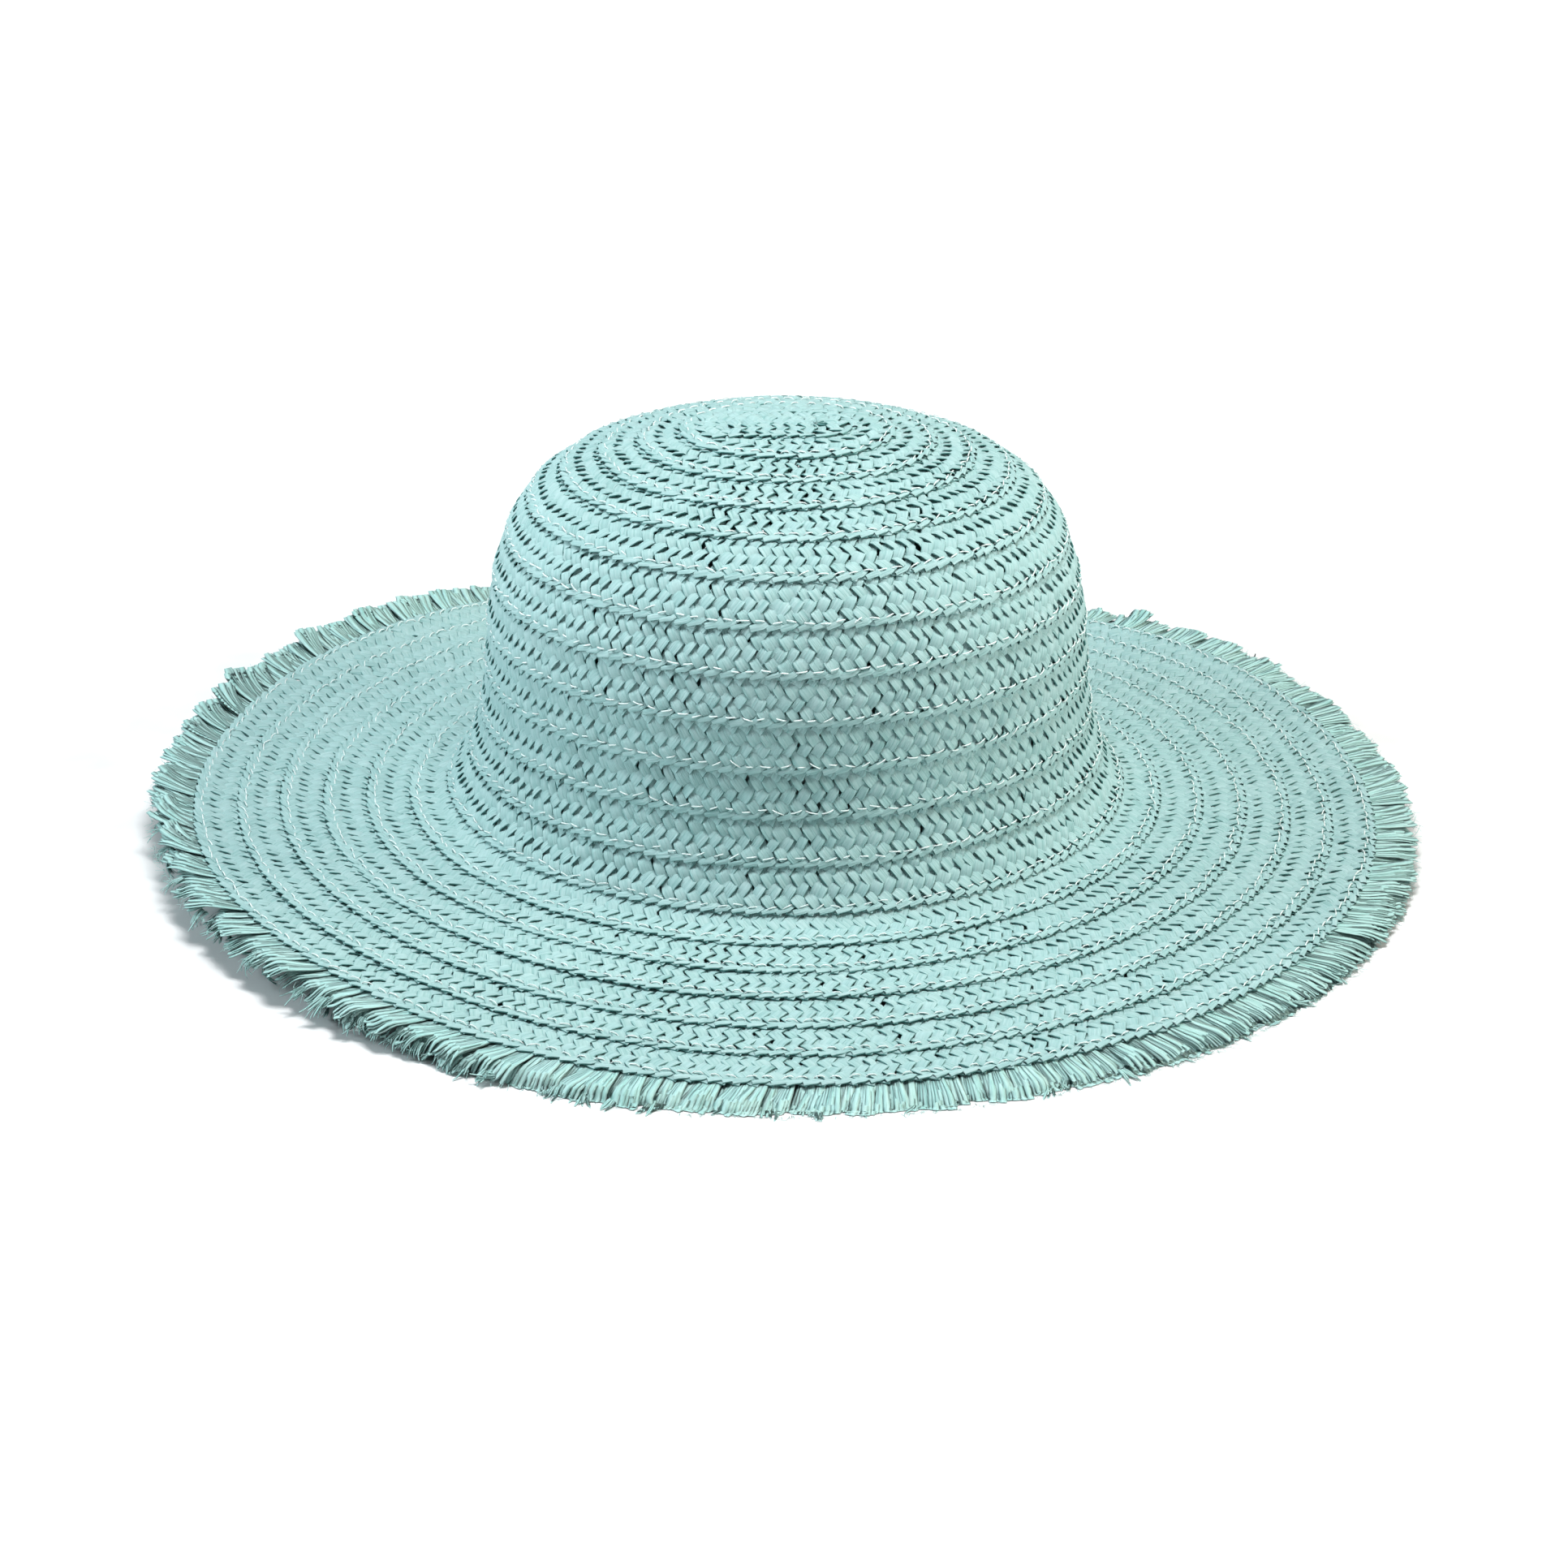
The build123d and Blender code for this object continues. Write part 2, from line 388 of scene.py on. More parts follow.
# painted shade: where this mask is 1 the straw's colour is darkened, standing in for the shadow
# in the grooves between ribbons
PAINTED_SHADE_MASK = np.array([1.0, 0.0, 0.0, 0.0, 1.0, 1.0, 1.0])  # 1 on the cut sides and below
CREASES = (1, 3)     # the points of the section where the flat meets the cut side
# share of its height that a ribbon has where it is sewn under the course before, the k that
# this lasts to, and the k from which it has all its height
SEWN_HEIGHT, SEWN_UNTIL, OPEN_FROM = 0.55, 0.7, 1.5
# a ribbon's width: covered, the part added on top, the part lost at the inner fold, and, for
# outward and inward ribbons, the part lost in the rope and where the rope starts and is full
COVERED_WIDTH, TOP_WIDTH, INNER_FOLD_LOSS = 0.90, 0.14, 0.24
ROPE_LOSS = [(0.42, 4.35, 5.2), (0.48, 4.1, 4.9)]
ROPE_FROM = 5        # the k at which a ribbon becomes part of the rope at the free edge
# height where the rope starts and the rise to its end, for outward and inward ribbons
ROPE_HEIGHTS = [(-0.50, 0.40), (0.28, -0.22)]
ROPE_HALF_WIDTH = 1.08  # the most an inward ribbon may measure each way in the rope
ROPE_LEAN = 0.38     # how far the rope's pieces lean along the edge, in pitches
ROPE_PLUMP = 0.20    # how far the middle of the rope's pieces is raised
# chance: spreads in mm, or as a share of the width
WIDTH_SPREAD, WIDTH_LIMITS = 0.15, (-1.7, 2.0)
WIDE_BELOW, WIDE_SHARE = 0.10, 1.35
NARROW_ABOVE, NARROW_SHARE = 0.92, 0.80
SIDE_SPREAD, SWING_SPREAD, SWAY_SPREAD = 0.30, 0.26, 0.22
RIDE_SPREAD, ROLL_SPREAD, TWIST_SPREAD = 0.05, 0.05, 0.06
# the rolled edges: where they start from each side, how tight they are and how far they drop
FREE_MARGIN, HIDDEN_MARGIN, EDGE_ROUND, EDGE_DROP, DROP_REACH = 0.15, 0.3, 0.4, 0.5, 0.8


def ribbon_widths(own, squeeze, half_width):
    """Half width of each ribbon: most are alike and a few much wider or narrower."""
    wide = half_width * (1 + WIDTH_SPREAD * np.clip(own[:, 0], *WIDTH_LIMITS)) * squeeze
    odd = rng.random(len(own))
    wide = np.where(odd < WIDE_BELOW, wide * WIDE_SHARE, wide)
    return np.where(odd > NARROW_ABOVE, wide * NARROW_SHARE, wide)


def ribbon_line(kind, k, pitch, wave):
    """Place along the plait and height of a ribbon that runs outward (kind 0) or back inward
    (kind 1) and ends in the rope at the free edge."""
    j = np.arange(len(k))[:, None]
    if kind == 0:
        s = j * pitch + k / 2 * pitch
    else:
        s = j * pitch + (COLUMNS - k) / 2 * pitch
        s = s - ROPE_LEAN * pitch * step(k, 4.5, 6)
    start, rise = ROPE_HEIGHTS[kind]
    rope = start + rise * step(k, ROPE_FROM, COLUMNS)
    return s, np.where(k > ROPE_FROM, rope, wave)


def narrowing(kind, k):
    """Share of its width that a ribbon has: it spreads where it lies on top and is drawn thin
    at the folds."""
    on_top = (np.cos(pi * k) * (1 if kind == 0 else -1) + 1) / 2
    share = COVERED_WIDTH + TOP_WIDTH * on_top
    share = share * (1 - INNER_FOLD_LOSS * step(0.9 - k, -0.6, 0.5))
    loss, start, full = ROPE_LOSS[kind]
    return share * (1 - loss * step(k, start, full))


def roll_edges(V, width):
    """v rounded off at both edges of the plait, and how far it would pass the free edge."""
    limit = (PLAIT_WIDTH - FREE_MARGIN) * width / PLAIT_WIDTH
    over = np.clip(V - limit, 0, None)
    V = np.minimum(V, limit) + EDGE_ROUND * np.tanh(over / EDGE_ROUND)
    under = np.clip(HIDDEN_MARGIN - V, 0, None)
    V = np.maximum(V, HIDDEN_MARGIN) - EDGE_ROUND * np.tanh(under / EDGE_ROUND)
    return V, over


def ribbons(kind, mapper, pitch, width, half_width, relief, drift, squeeze):
    """Points and fibre map of all the ribbons of one kind in a plait."""
    count = len(drift)
    k = np.broadcast_to(SECTIONS[kind], (count, SAMPLES))
    v = np.interp(k, np.arange(COLUMNS + 1), COLUMN_V) * width / PLAIT_WIDTH
    height = relief * (SEWN_HEIGHT + (1 - SEWN_HEIGHT) * step(k, SEWN_UNTIL, OPEN_FROM))
    own = rng.normal(0, 1, (count, 7))
    side, swing, ride, twist, origin, sway = (own[:, n : n + 1] for n in range(1, 7))
    wide = ribbon_widths(own, squeeze, half_width)
    wave = np.interp((k - kind - RISE_K[0]) % 2 + RISE_K[0], RISE_K, RISE_H) * height
    s, h = ribbon_line(kind, k, pitch, wave)
    # chance: each ribbon lies a little to one side, bows, and rides high or low
    bow = np.sin(k / COLUMNS * pi)
    s = s + side * SIDE_SPREAD + swing * SWING_SPREAD * np.cos(k / COLUMNS * pi)
    s = s + drift[:, None] * bow
    v = v + sway * SWAY_SPREAD * bow
    settled = 1 - 0.7 * step(k, 4.5, 5)
    h = h + ride * RIDE_SPREAD * settled + ROLL_SPREAD * twist * np.sin(pi * k + origin)
    half = wide[:, None] * narrowing(kind, k)
    if kind == 1:
        half = np.minimum(half, ROPE_HALF_WIDTH + 3 * (1 - step(k, 4.1, 4.9)))
    # the section is laid across the ribbon's own direction
    ds = np.gradient(s, axis=1)
    dv = np.gradient(v, axis=1)
    length = np.hypot(ds, dv)
    run = np.cumsum(length, axis=1) + origin * 50
    tilt = relief * SHINGLE * step(k, 0.9, 1.6) * (1 - 1.15 * step(k, 4.4, 5.0))
    tilt = twist * TWIST_SPREAD + tilt * (1 if kind == 0 else -1)
    x = CROSS_X[None, None, :]
    S = s[..., None] + (-dv / length)[..., None] * half[..., None] * x
    V = v[..., None] + (ds / length)[..., None] * half[..., None] * x
    V, over = roll_edges(V, width)
    drop = EDGE_DROP * np.tanh(over / DROP_REACH)
    H = h[..., None] + CROSS_H[None, None, :] + tilt[..., None] * x - drop
    plump = step(k, 4.6, 5.4) * (ROPE_PLUMP if kind == 1 else 0.0)
    H = H + plump[..., None] * (1 - x * x)
    across = origin[..., None] * 31 + half[..., None] * x
    fibre = np.stack([across, run[..., None] + 0 * x], -1)
    return mapper(S, V, H).reshape(-1, 3), fibre.reshape(-1, 2)


def crease(me, around):
    """Keeps a crisp line along each ribbon where its flat top meets its cut side."""
    ends = np.empty(len(me.edges) * 2, np.int32)
    me.edges.foreach_get("vertices", ends)
    low, high = np.sort(ends.reshape(-1, 2), axis=1).T
    sharp = (high - low == around) & np.isin(low % around, CREASES)
    att = me.attributes.new("sharp_edge", "BOOLEAN", "EDGE")
    att.data.foreach_set("value", sharp)


def plait(name, mapper, length, width=PLAIT_WIDTH, half_width=1.80, relief=1.0):
    """One length of plait as ribbons.  mapper turns s, v and h into points of the hat.

    Each ribbon crosses the plait once, outward or inward, over one and under one.  The fold at
    the free edge is drawn out into a thin rope that lies along the edge."""
    count = int(round(length / PITCH))
    pitch = length / count
    drift = smooth_noise(count, 9, 0.30)
    squeeze = 1 + smooth_noise(count, 5, 0.05)
    around = len(CROSS_X)
    verts, fibres, tints = [], [], []
    for kind in (0, 1):
        points, fibre = ribbons(kind, mapper, pitch, width, half_width, relief, drift, squeeze)
        verts.append(points)
        fibres.append(fibre)
        tints.append(np.repeat(rng.normal(0, 1, count), SAMPLES * around))
    quads = tube_quads(2 * count, SAMPLES, around)
    ob = new_mesh(
        name, np.vstack(verts), quads, np.vstack(fibres), np.concatenate(tints), STRAW
    )
    crease(ob.data, around)
    # the mask for the painted shade on the cut sides and undersides
    cut = ob.data.attributes.new("cut", "FLOAT", "POINT")
    cut.data.foreach_set("value", np.tile(PAINTED_SHADE_MASK, 2 * count * SAMPLES).astype(np.float32))
    return ob


# ---------------------------------------------------------------- courses
WANDER_SAMPLES = 512          # samples round a course of how its edge wanders
WANDER_ACROSS = (26, 0.22)    # samples from one wander to the next, and its spread in mm
WANDER_UP = (20, 0.10)
CROWN_RIBBON = (1.84, 1.1)    # half width in mm and relief
BRIM_RIBBON = (1.90, 0.66)    # the brim is pressed flatter


def course_mapper(row):
    """Places plait coordinates on course number row (1 is the first round the button)."""
    gap, width = course_size(row)
    mid = (EDGES[BUTTON_EDGE + row - 1][0] + EDGES[BUTTON_EDGE + row][0]) / 2
    phase = rng.random() * TURN
    across = smooth_noise(WANDER_SAMPLES, *WANDER_ACROSS)
    up = smooth_noise(WANDER_SAMPLES, *WANDER_UP)

    def mapper(S, V, H):
        theta = S / mid + phase
        place = (theta / TURN * WANDER_SAMPLES) % WANDER_SAMPLES
        i = place.astype(int)
        f = place - i
        here, after = i % WANDER_SAMPLES, (i + 1) % WANDER_SAMPLES
        sideways = across[here] * (1 - f) + across[after] * f
        outward = up[here] * (1 - f) + up[after] * f
        share = V / width
        u = row - (width - V - sideways * share) / gap
        return hat_point(u, -TUCK * (1 - share) + H + outward, theta)

    return mapper, TURN * mid, width


for row in range(1, ROWS + 1):
    mapper, around, width = course_mapper(row)
    half_width, relief = CROWN_RIBBON if row <= CROWN_ROWS else BRIM_RIBBON
    piece = plait(f"plait_{row:02d}", mapper, around, width, half_width, relief)
    dress(piece, row_names[row - 1])


# ---------------------------------------------------------------- button
BUTTON_STRAIGHT = 28.5   # length of plait before the bend, and about as much behind it
BUTTON_BEND = 6.5        # radius that sets the length of plait in the bend
BUTTON_MIDDLE = 4.3      # v that lies on the middle line of the folded start
BUTTON_END = 8.0         # x of the bend's centre
BUTTON_RISE = 0.75       # height of the plait over the bottom of the CAD's button
BUTTON_DOME = 0.0010     # fall away from the middle, per mm squared
BUTTON_TUCK = 0.45       # share of a course's tuck
BUTTON_SINK, BUTTON_SINK_TO = 0.9, 9  # the back run's hidden edge sinks below the front run


def button_mapper():
    """The folded start: out along the front, round a tight bend and back behind."""
    straight = BUTTON_STRAIGHT
    bend = pi * BUTTON_BEND
    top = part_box("crown_button")[0][2] / MM + BUTTON_RISE

    def mapper(S, V, H):
        out = V - BUTTON_MIDDLE
        x = np.where(S < straight, -straight + BUTTON_END + S, BUTTON_END)
        y = np.where(S < straight, -out, 0.0)
        a = np.clip((S - straight) / bend, 0, 1) * pi
        bent = (S >= straight) & (S < straight + bend)
        x = np.where(bent, BUTTON_END + out * np.sin(a), x)
        y = np.where(bent, -out * np.cos(a), y)
        back = S >= straight + bend
        x = np.where(back, BUTTON_END - (S - straight - bend), x)
        y = np.where(back, out, y)
        sink = np.where(back, BUTTON_SINK, 0.0) * np.clip(1 - V / BUTTON_SINK_TO, 0, 1)
        tuck = TUCK * BUTTON_TUCK * (1 - V / PLAIT_WIDTH)
        z = top - BUTTON_DOME * (x * x + y * y) - tuck + H - sink
        return np.stack([x, y, z], -1)

    return mapper, 2 * straight + bend


mapper, run_length = button_mapper()
piece = plait("plait_button", mapper, run_length)
dress(piece, "crown_button")


# ---------------------------------------------------------------- fringe
# How the loose ends lie in each direction (degrees round the hat):
# lean to one side in degrees, droop of the ends in degrees, rise where they leave the edge,
# mess from 0 to 1, and how far out they reach in mm.
LIE = [
    (-100, -22, -62, 2, 0.35, 13.2), (-75, -14, -58, 2, 0.30, 13.2),
    (-52, 26, -30, 1, 0.18, 14.0), (-20, 40, -12, 2, 0.12, 14.8), (10, 34, -6, 5, 0.12, 15.0),
    (45, 14, 0, 8, 0.16, 14.8), (90, 0, 0, 6, 0.14, 14.6), (135, -22, 4, 12, 0.16, 14.6),
    (165, -36, 4, 8, 0.12, 15.2), (192, -46, -8, 6, 0.14, 15.4), (216, -58, -34, 3, 0.30, 13.0),
    (238, -52, -50, 4, 0.50, 11.8),
]
FLOOR_GAP = 0.35         # about the lowest that a strip may lie, in mm above the ground
STRAWS = 285
STRIPS_EACH = 7          # strips that each straw splits into
STRIP_STEPS = 10
TUFTS = 420
TUFT_STRIPS = 6
TUFT_STEPS = 6
FIBRES, FIBRE_STEPS = ((1500, 5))


def lie(degrees):
    """The five measures of LIE in a direction, blended smoothly between the places given."""
    first = LIE[0][0]
    d = (np.asarray(degrees, float) - first) % 360 + first
    at = np.array([row[0] for row in LIE] + [first + 360], float)
    table = np.array([row[1:] for row in LIE] + [LIE[0][1:]], float)
    i = np.clip(np.searchsorted(at, d, side="right") - 1, 0, len(LIE) - 1)
    f = (d - at[i]) / (at[i + 1] - at[i])
    f = (f * f * (3 - 2 * f))[..., None]
    return np.moveaxis(table[i] * (1 - f) + table[i + 1] * f, -1, 0)


EDGE_POINT = EDGES[BUTTON_EDGE + ROWS]
EDGE_ALONG = EDGES[BUTTON_EDGE + ROWS + 1] - EDGE_POINT
EDGE_ALONG = EDGE_ALONG / np.linalg.norm(EDGE_ALONG)
EDGE_NORMAL = np.array([-EDGE_ALONG[1], EDGE_ALONG[0]])


def beyond_edge(theta, R, S, H):
    """A point past the last course's edge: R outward, S sideways and H up, all in mm."""
    radius = EDGE_POINT[0] + EDGE_ALONG[0] * R + EDGE_NORMAL[0] * H
    height = EDGE_POINT[1] + EDGE_ALONG[1] * R + EDGE_NORMAL[1] * H
    P = to_hat(radius, height, theta + S / (EDGE_POINT[0] + np.clip(R, -10, 30)))
    P[..., 2] = np.maximum(P[..., 2], FLOOR_GAP + 0.02 * (P[..., 2] - FLOOR_GAP))
    return P


def strips(theta, start, psi, phi, pace, half, fold):
    """Narrow folded strips.  theta (n), start (n,3) as R,S,H; psi and phi (n,steps) are the
    sideways and upward directions of each step; half (n,steps+1) the half widths."""
    n, steps = psi.shape
    zero = np.zeros((n, 1))
    flat = np.cos(phi) * pace
    R = np.hstack([zero, np.cumsum(flat * np.cos(psi), 1)]) + start[:, 0:1]
    S = np.hstack([zero, np.cumsum(flat * np.sin(psi), 1)]) + start[:, 1:2]
    H = np.hstack([zero, np.cumsum(np.sin(phi) * pace, 1)]) + start[:, 2:3]
    turn = np.hstack([psi, psi[:, -1:]])
    lift = np.hstack([phi, phi[:, -1:]])
    x = np.array([-1.0, 0.0, 1.0])[None, None, :] * half[..., None]
    y = np.array([0.0, 1.0, 0.0])[None, None, :] * fold[:, None, None]
    R = R[..., None] - np.sin(turn)[..., None] * x - np.sin(lift)[..., None] * y
    S = S[..., None] + np.cos(turn)[..., None] * x
    H = H[..., None] + np.cos(lift)[..., None] * y
    P = beyond_edge(theta[:, None, None], R, S, H)
    run = np.hstack([zero, np.cumsum(np.broadcast_to(pace, psi.shape), 1)])
    U = rng.random(n)[:, None, None] * 97 + x
    L = np.broadcast_to(run[..., None], x.shape)
    return P.reshape(-1, 3), np.stack([U, L], -1).reshape(-1, 2), (steps + 1) * 3


class Pile:
    """Strips from several batches, gathered into one mesh."""

    def __init__(self):
        self.points, self.maps, self.tints, self.quads = [], [], [], []
        self.base = 0

    def add(self, theta, start, psi, phi, length, half, fold, tone, tone_spread=None):
        n, steps = psi.shape
        points, fibre, per = strips(theta, start, psi, phi, length[:, None] / steps, half, fold)
        if tone_spread is not None:
            tone = tone + rng.normal(0, tone_spread, n)
        self.points.append(points)
        self.maps.append(fibre)
        self.tints.append(np.repeat(tone, per))
        self.quads.append(tube_quads(n, steps + 1, 3) + self.base)
        self.base += len(points)

    def mesh(self, name):
        return new_mesh(
            name, np.vstack(self.points), np.vstack(self.quads), np.vstack(self.maps),
            np.concatenate(self.tints), LOOSE_STRAW_PAINTED_LIGHTER,
        )


def shares(steps):
    """Shares of a strip's length at the middle of each step, and at the ends of the steps."""
    return ((np.arange(steps) + 0.5) / steps)[None, :], (np.arange(steps + 1) / steps)[None, :]


def fringe(name):
    """Ribbons that leave the last course's edge, fan out, overlap and fray."""
    count = STRAWS
    a0 = (np.arange(count) + 0.35 * rng.random(count)) / count * TURN
    lean, droop, rise, mess, reach = lie(np.degrees(a0))
    lean = np.radians(lean) + smooth_noise(count, 12, 0.10) + rng.normal(0, 0.045, count)
    lean = lean + mess * rng.normal(0, 0.28, count)
    droop = np.radians(droop) * (1 + rng.normal(0, 0.16, count)) + rng.normal(0, 0.07, count)
    rise = np.radians(rise) + rng.normal(0, 0.05, count) + mess * rng.normal(0.05, 0.16, count)
    length = reach / np.cos(np.clip(np.abs(lean), 0, 0.95)) ** 0.75
    length = length + 2.2 * np.abs(droop) + rng.normal(0, 0.5, count)
    tone = rng.normal(0, 1, count)
    shingle = 0.12 + rng.normal(0, 0.05, count)
    fold_at = (0.62 + rng.normal(0, 0.05, count) - 0.08 * mess)[:, None]
    middle, ends = shares(STRIP_STEPS)
    split = step(middle, 0.72, 1.05)
    mess = mess[:, None]
    pile = Pile()
    for e in range(STRIPS_EACH):
        o = (e - (STRIPS_EACH - 1) / 2) / ((STRIPS_EACH - 1) / 2)  # -1 to 1 across the straw
        own = rng.normal(0, 1, (count, 6))
        strip_length = length * (1 - 0.035 * np.abs(own[:, 0])) + 0.25 * own[:, 1]
        psi = lean[:, None] * (0.62 + 0.5 * middle)
        psi = psi + o * 0.11 + own[:, 2:3] * 0.06 * split * (1 + 1.6 * mess)
        phi = rise[:, None] - 0.03 * middle
        phi = phi + droop[:, None] * step(middle, fold_at - 0.10, fold_at + 0.18)
        phi = phi + split * own[:, 3:4] * (0.10 + 0.50 * mess)
        phi = phi + own[:, 4:5] * 0.008
        start = np.stack([
            np.full(count, -2.4), o * 1.50 + 0 * a0, -1.15 + o * shingle * 1.2,
        ], 1)
        half = (0.66 + 0.56 * ends) * (1 - 0.30 * step(ends, 0.92, 1.0))
        half = half * (1 + 0.12 * own[:, 5:6])
        fold = (0.045 if e % 2 else 0.015) * (1 + 0.4 * own[:, 5])
        pile.add(a0, start, psi, phi, strip_length, half, fold, tone, tone_spread=0.5)
    return pile.mesh(name)


def add_tufts(pile):
    """Tufts: several strips from one place under the fringe, hanging or curling."""
    a0 = rng.random(TUFTS) * TURN
    lean, droop, rise, mess, reach = lie(np.degrees(a0))
    keep = rng.random(TUFTS) < 0.12 + 0.75 * mess + 0.35 * (droop < -45)
    a0, lean, mess, reach = (q[keep] for q in (a0, lean, mess, reach))
    n = len(a0)
    middle, ends = shares(TUFT_STEPS)
    base_psi = np.radians(lean) * 0.8 + rng.normal(0, 0.35, n)
    base_phi = -0.35 + rng.normal(0, 0.25, n)
    curl = -1.1 + rng.normal(0, 0.8, n)
    out_by = reach * (0.50 + 0.16 * rng.random(n))
    low = -1.3 - 0.6 * rng.random(n)
    # painted shade: the tufts' tone is darker on average, for where they hang in shade under the
    # fringe
    tone = rng.normal(-0.6, 1, n)
    sideways = out_by * np.tan(np.radians(lean) * 0.8)
    for e in range(TUFT_STRIPS):
        o = (e - (TUFT_STRIPS - 1) / 2) / ((TUFT_STRIPS - 1) / 2)
        own = rng.normal(0, 1, (n, 4))
        length = np.clip(6.0 + 1.4 * own[:, 0] + 1.6 * mess, 2.5, 9)
        start = np.stack([out_by, sideways + o * 0.9, low], 1)
        psi = base_psi[:, None] + o * 0.16 + own[:, 1:2] * 0.30 * middle
        phi = base_phi[:, None] + curl[:, None] * middle + own[:, 2:3] * 0.4 * middle**2
        half = (0.30 + 0.10 * ends) * (1 - 0.6 * step(ends, 0.7, 1)) + 0 * own[:, :1]
        pile.add(a0, start, psi, phi, length, half, 0.12 * own[:, 3], tone)


def add_fibres(pile):
    """Fine fibres at the ends of the fringe."""
    a0 = rng.random(FIBRES) * TURN
    lean, droop, rise, mess, reach = lie(np.degrees(a0))
    lean, droop = np.radians(lean), np.radians(droop)
    middle, ends = shares(FIBRE_STEPS)
    own = rng.normal(0, 1, (FIBRES, 5))
    out_by = reach * (0.80 + 0.10 * rng.random(FIBRES))
    start = np.stack([out_by, out_by * np.tan(lean * 0.75), -1.0 + droop * 1.6], 1)
    psi = lean[:, None] + own[:, 0:1] * 0.6 + own[:, 1:2] * 0.8 * middle
    phi = droop[:, None] * 0.8 + own[:, 2:3] * 0.35 + own[:, 3:4] * 0.7 * middle
    half = 0.10 * (1 - 0.5 * ends) + 0 * own[:, :1]
    length = np.clip(2.4 + 0.8 * own[:, 4], 1, 4.5)
    pile.add(a0, start, psi, phi, length, half, 0.05 + 0 * own[:, 0], own[:, 1])


def frayed_ends(name):
    """Short frayed bits under and at the ends of the fringe, and a few fine loose fibres."""
    pile = Pile()
    add_tufts(pile)
    add_fibres(pile)
    return pile.mesh(name)


dress(fringe("fringe"), "brim_fringe")
dress(frayed_ends("fringe_ends"), "brim_fringe")


# ---------------------------------------------------------------- sewing thread
STITCH_SPACING = 4.7
STITCH_LENGTH, STITCH_EXTRA = 2.9, 1.1
STITCH_RADIUS = 0.22
STITCH_INSET, STITCH_INSET_SPREAD = 3.0, 0.30
STITCH_STEPS = 4
STITCH_SIDES = 4
BAND_STITCHES = 130
BAND_STITCH_LENGTH = 3.0
BAND_STITCH_RADIUS = 0.16


def stitches(name, row):
    """Short visible lengths of clear thread along a course, just inside its free edge."""
    gap, width = course_size(row)
    radius = EDGES[BUTTON_EDGE + row][0]
    count = int(TURN * radius / STITCH_SPACING)
    a0 = (np.arange(count) + 0.25 * rng.random(count)) / count * TURN
    length = STITCH_LENGTH + STITCH_EXTRA * rng.random(count)
    slant = rng.normal(-0.10, 0.22, count)
    inset = STITCH_INSET + rng.normal(0, STITCH_INSET_SPREAD, count)
    t = np.linspace(-0.5, 0.5, STITCH_STEPS + 1)[None, :]
    s = t * length[:, None]
    v = width - inset[:, None] + slant[:, None] * s
    # it arches over the straw and dives into it at both ends
    arch = 0.52 + 0.20 * (1 - (2 * t) ** 2) - 0.60 * (2 * t) ** 6
    around = np.arange(STITCH_SIDES) / STITCH_SIDES * TURN
    V = v[..., None] + STITCH_RADIUS * np.cos(around)
    H = arch[..., None] + STITCH_RADIUS * np.sin(around) + 0 * V
    theta = a0[:, None, None] + s[..., None] / radius + 0 * V
    P = hat_point(row - (width - V) / gap, -TUCK * (1 - V / width) + H, theta)
    quads = tube_quads(count, STITCH_STEPS + 1, STITCH_SIDES)
    return new_mesh(name, P.reshape(-1, 3), quads, material=THREAD_PAINTED_GLINT)


def band_stitches(name):
    """Stitches along the foot of the sweatband, on its inner face."""
    lo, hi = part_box("sweatband_thread")
    radius = hi[0] / MM - 0.3
    height = (lo[2] + hi[2]) / 2 / MM
    a0 = np.arange(BAND_STITCHES) / BAND_STITCHES * TURN
    t = np.linspace(-0.5, 0.5, STITCH_STEPS + 1)
    around = np.arange(STITCH_SIDES) / STITCH_SIDES * TURN
    theta = a0[:, None, None] + (t * BAND_STITCH_LENGTH / radius)[None, :, None] + 0 * around
    r = radius + 0.5 * (2 * t[None, :, None]) ** 4 + BAND_STITCH_RADIUS * np.cos(around)
    z = height + BAND_STITCH_RADIUS * np.sin(around) + 0 * theta
    P = np.stack([r * np.cos(theta), r * np.sin(theta), z], -1)
    quads = tube_quads(BAND_STITCHES, STITCH_STEPS + 1, STITCH_SIDES)
    return new_mesh(name, P.reshape(-1, 3), quads, material=THREAD_PAINTED_GLINT)


for row in range(1, ROWS + 1):
    dress(stitches(f"stitches_{row:02d}", row), f"seam_thread_{row:02d}")


# ---------------------------------------------------------------- sweatband
BAND = fine_material("grosgrain", (0.62, 0.68, 0.66), 0.82, 0.2, 1200, 0.00025, ribs=True)
BAND_TURNS = 240
BAND_LEVELS = 15
BAND_HALF_THICKNESS = 0.4
FOOT_SHARE = 4           # the foot is one part in this many of the band's height
FOOT_CURVE = 1.3
lo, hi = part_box("sweatband")
foot_r = hi[0] / MM - BAND_HALF_THICKNESS
inner_r = frame["record"]["mounts"][0]["dims"]["r_mm"] + BAND_HALF_THICKNESS


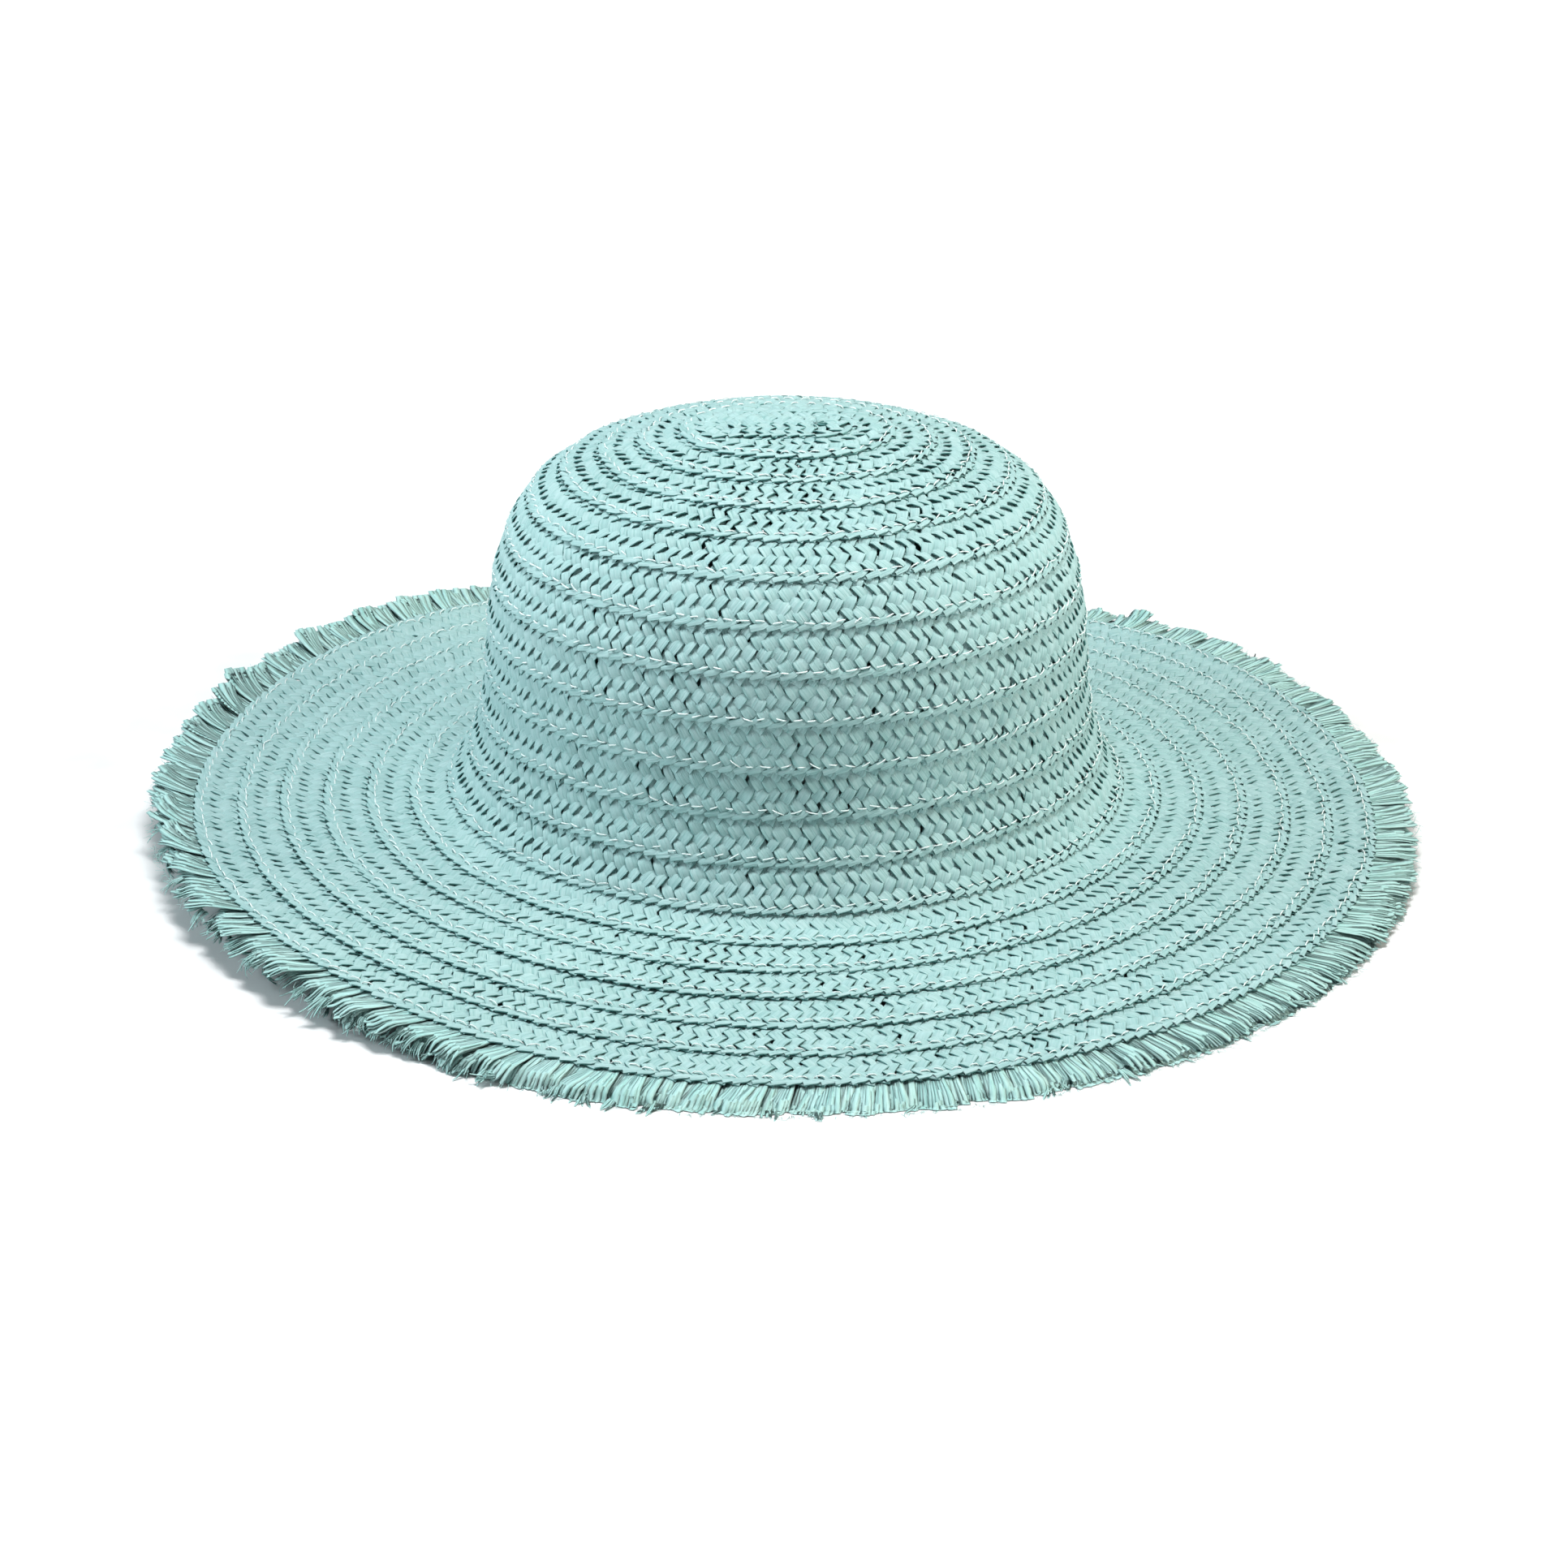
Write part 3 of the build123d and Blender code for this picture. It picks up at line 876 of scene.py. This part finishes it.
def sweatband(name):
    """The cloth band: straight above, with a foot that leans out to the crown."""
    bottom, top = lo[2] / MM, hi[2] / MM
    a = np.arange(BAND_TURNS) / BAND_TURNS * TURN
    f = np.linspace(0, 1, BAND_LEVELS)
    z = bottom + (top - bottom) * f
    r = inner_r + (foot_r - inner_r) * np.clip(1 - f * FOOT_SHARE, 0, 1) ** FOOT_CURVE
    A, Z = np.meshgrid(a, z)
    R = np.repeat(r[:, None], BAND_TURNS, 1)
    verts = np.stack([R * np.cos(A), R * np.sin(A), Z], -1).reshape(-1, 3)
    i = np.arange(BAND_LEVELS - 1)[:, None] * BAND_TURNS
    j = np.arange(BAND_TURNS)[None, :]
    k = (np.arange(BAND_TURNS) + 1)[None, :] % BAND_TURNS
    quads = np.stack([i + j, i + k, i + k + BAND_TURNS, i + j + BAND_TURNS], -1)
    weave = np.stack([A * inner_r, Z], -1).reshape(-1, 2)
    return new_mesh(name, verts, quads.reshape(-1, 4), weave, material=BAND)


band = sweatband("sweatband_cloth")
dress(band, "sweatband")
dress(band_stitches("band_stitches"), "sweatband_thread")


# ---------------------------------------------------------------- floor
GLOW_FROM, GLOW_TO, GLOW = 0.19, 0.55, 0.6  # radii in metres, and the strength beyond them


def floor_material():
    """A pale sweep that is lit evenly away from the hat, and holds its shadow near it."""
    m = fine_material("studio floor", (0.92, 0.925, 0.93), 0.75, 0.2, 40, 0.0001)
    tree = m.node_tree
    bsdf = tree.nodes["Principled BSDF"]
    place = node(tree, "ShaderNodeTexCoord")
    reach = node(tree, "ShaderNodeVectorMath", operation="LENGTH")
    glow = node(
        tree, "ShaderNodeMapRange", {"From Min": GLOW_FROM, "From Max": GLOW_TO, "To Max": GLOW},
        interpolation_type="SMOOTHSTEP",
    )
    tree.links.new(place.outputs["Object"], reach.inputs[0])
    tree.links.new(reach.outputs["Value"], glow.inputs["Value"])
    tree.links.new(glow.outputs["Result"], bsdf.inputs["Emission Strength"])
    bsdf.inputs["Emission Color"].default_value = (0.96, 0.98, 1.0, 1)
    return m


bpy.ops.mesh.primitive_plane_add(size=8)
floor = bpy.context.object
floor.name = "floor"
floor.data.materials.append(floor_material())


# ---------------------------------------------------------------- light
world = bpy.data.worlds.new("studio")
bpy.context.scene.world = world
world.use_nodes = True
world.node_tree.nodes["Background"].inputs["Color"].default_value = (0.95, 0.98, 1.0, 1)
world.node_tree.nodes["Background"].inputs["Strength"].default_value = 0.13


def place_light(data, power, place, at, colour):
    data.energy = power
    data.color = colour
    ob = bpy.data.objects.new(data.name, data)
    ob.location = place
    ob.rotation_euler = (Vector(at) - Vector(place)).to_track_quat("-Z", "Y").to_euler()
    bpy.context.scene.collection.objects.link(ob)


def area_light(name, place, at, size, power, colour=(1, 1, 1)):
    data = bpy.data.lights.new(name, "AREA")
    data.size = size
    place_light(data, power, place, at, colour)


def sun_light(name, place, at, angle, strength, colour=(1, 1, 1)):
    data = bpy.data.lights.new(name, "SUN")
    data.angle = radians(angle)
    place_light(data, strength, place, at, colour)


sun_light("overhead", (0.04, 0.08, 1.0), (0, 0, 0), 20, 1.25)
area_light("near overhead", (0.02, -0.13, 0.62), (0, -0.13, 0), 0.20, 2.25)
area_light("left", (-1.5, -0.05, 0.60), (0, 0, 0.05), 0.7, 15.5, (0.82, 0.95, 1.0))
area_light("right", (1.5, -0.05, 0.60), (0, 0, 0.05), 0.7, 14, (1.0, 0.985, 0.86))


# ---------------------------------------------------------------- camera
CAMERA_ELEVATION = radians(23.7)
CAMERA_ROLL = radians(0.42)
CAMERA_DISTANCE = 1.1
CAMERA_TARGET = Vector((-0.0004, 0, 0.0114))
SENSOR = 36
FRAME_WIDTH = 0.490355  # width of the view at the target, in metres

out = Vector((0, -cos(CAMERA_ELEVATION), sin(CAMERA_ELEVATION)))
cam_data = bpy.data.cameras.new("camera")
cam_data.sensor_width = SENSOR
cam_data.lens = SENSOR * CAMERA_DISTANCE / FRAME_WIDTH
cam = bpy.data.objects.new("camera", cam_data)
bpy.context.scene.collection.objects.link(cam)
turned = (-out).to_track_quat("-Z", "Y").to_matrix() @ Matrix.Rotation(CAMERA_ROLL, 3, "Z")
cam.matrix_world = Matrix.Translation(CAMERA_TARGET + out * CAMERA_DISTANCE) @ turned.to_4x4()
bpy.context.scene.camera = cam
bpy.context.scene.view_settings.view_transform = "Standard"
